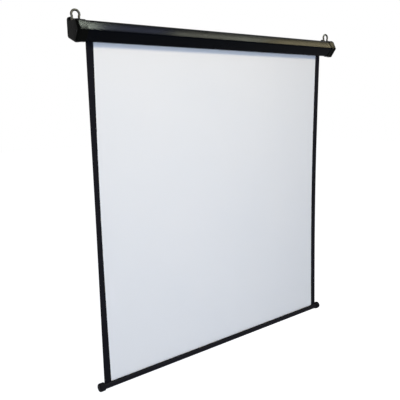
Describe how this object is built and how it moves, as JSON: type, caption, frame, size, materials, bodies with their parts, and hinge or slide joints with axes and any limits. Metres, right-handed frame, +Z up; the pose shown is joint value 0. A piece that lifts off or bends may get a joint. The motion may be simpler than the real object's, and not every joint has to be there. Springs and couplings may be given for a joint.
{
  "type": "projector screen",
  "caption": "Pull-down projection screen: a white sheet with black side borders, on a spring roller in a slim black case with hanging loops, and a round weighted bottom bar.",
  "frame": {"origin": "middle of the case's flat back face, where it lies on the wall", "axes": "+X to the viewer's right along the case, +Y into the wall, +Z up; the viewing side faces -Y"},
  "size_m": [1.3574, 0.086, 1.4013],
  "materials": {
    "case_paint": "black coated, soft satin sheen, over an extruded aluminium case",
    "cap_plastic": "black moulded plastic, satin, finely textured",
    "bar_paint": "black paint, satin, on a round steel tube",
    "black_screws": "black finished steel screws",
    "screen_cloth": "matt white coated screen cloth, with black borders down both sides of the hanging sheet",
    "loop_steel": "dark grey plated steel wire",
    "zinc_steel": "bright zinc plated steel",
    "spring_steel": "oiled grey spring steel",
    "nylon": "natural off-white nylon"
  },
  "bodies": {
    "case": {"case_shell": "case_paint", "left_end_cap": "cap_plastic", "right_end_cap": "cap_plastic", "left_end_plate": "zinc_steel", "right_end_plate": "zinc_steel", "left_cap_screw_1": "black_screws", "left_cap_screw_2": "black_screws", "right_cap_screw_1": "black_screws", "right_cap_screw_2": "black_screws", "left_plate_screw_1": "zinc_steel", "left_plate_screw_2": "zinc_steel", "left_plate_screw_3": "zinc_steel", "right_plate_screw_1": "zinc_steel", "right_plate_screw_2": "zinc_steel", "right_plate_screw_3": "zinc_steel", "left_hanger_pin": "zinc_steel", "right_hanger_pin": "zinc_steel", "roller_bush": "nylon", "spring_shaft": "zinc_steel", "shaft_anchor": "nylon", "ratchet_cam": "spring_steel", "screen_cloth": "screen_cloth"},
    "roller": {"roller_tube": "zinc_steel", "wound_cloth": "screen_cloth", "ratchet_plug": "nylon", "idle_plug": "nylon", "gudgeon_pin": "zinc_steel", "torsion_spring": "spring_steel", "upper_pawl_pivot": "zinc_steel", "lower_pawl_pivot": "zinc_steel", "upper_pawl_stop": "zinc_steel", "lower_pawl_stop": "zinc_steel"},
    "upper_pawl": {"upper_pawl": "spring_steel"},
    "lower_pawl": {"lower_pawl": "spring_steel"},
    "bottom_bar": {"bar_tube": "bar_paint", "left_bar_cap": "cap_plastic", "right_bar_cap": "cap_plastic", "hem_rod": "zinc_steel", "cloth_hem": "screen_cloth"},
    "left_hanger": {"left_hanger_loop": "loop_steel"},
    "right_hanger": {"right_hanger_loop": "loop_steel"}
  },
  "joints": [
    {"name": "screen_drop", "type": "slide", "parent": "case", "child": "bottom_bar", "axis": [0, 0, 1], "range_m": [0, 1.262], "deforming": ["screen_cloth"]},
    {"name": "roller_spin", "type": "hinge", "parent": "case", "child": "roller", "pos_m": [0, -0.0475, -0.007], "axis": [1, 0, 0], "range_deg": [0, 2945]},
    {"name": "upper_pawl_swing", "type": "hinge", "parent": "roller", "child": "upper_pawl", "pos_m": [-0.6336, -0.0565, 0.0013], "axis": [1, 0, 0], "range_deg": [0, 25]},
    {"name": "lower_pawl_swing", "type": "hinge", "parent": "roller", "child": "lower_pawl", "pos_m": [-0.6336, -0.0385, -0.0153], "axis": [1, 0, 0], "range_deg": [-25, 0]},
    {"name": "left_hanger_swing", "type": "hinge", "parent": "case", "child": "left_hanger", "pos_m": [-0.6595, -0.03, 0.012], "axis": [1, 0, 0], "range_deg": [-18, 18]},
    {"name": "right_hanger_swing", "type": "hinge", "parent": "case", "child": "right_hanger", "pos_m": [0.6595, -0.03, 0.012], "axis": [1, 0, 0], "range_deg": [-18, 18]}
  ],
  "couplings": [
    {"joint": "roller_spin", "follows": "screen_drop", "rad_per_m": 40.7}
  ]
}
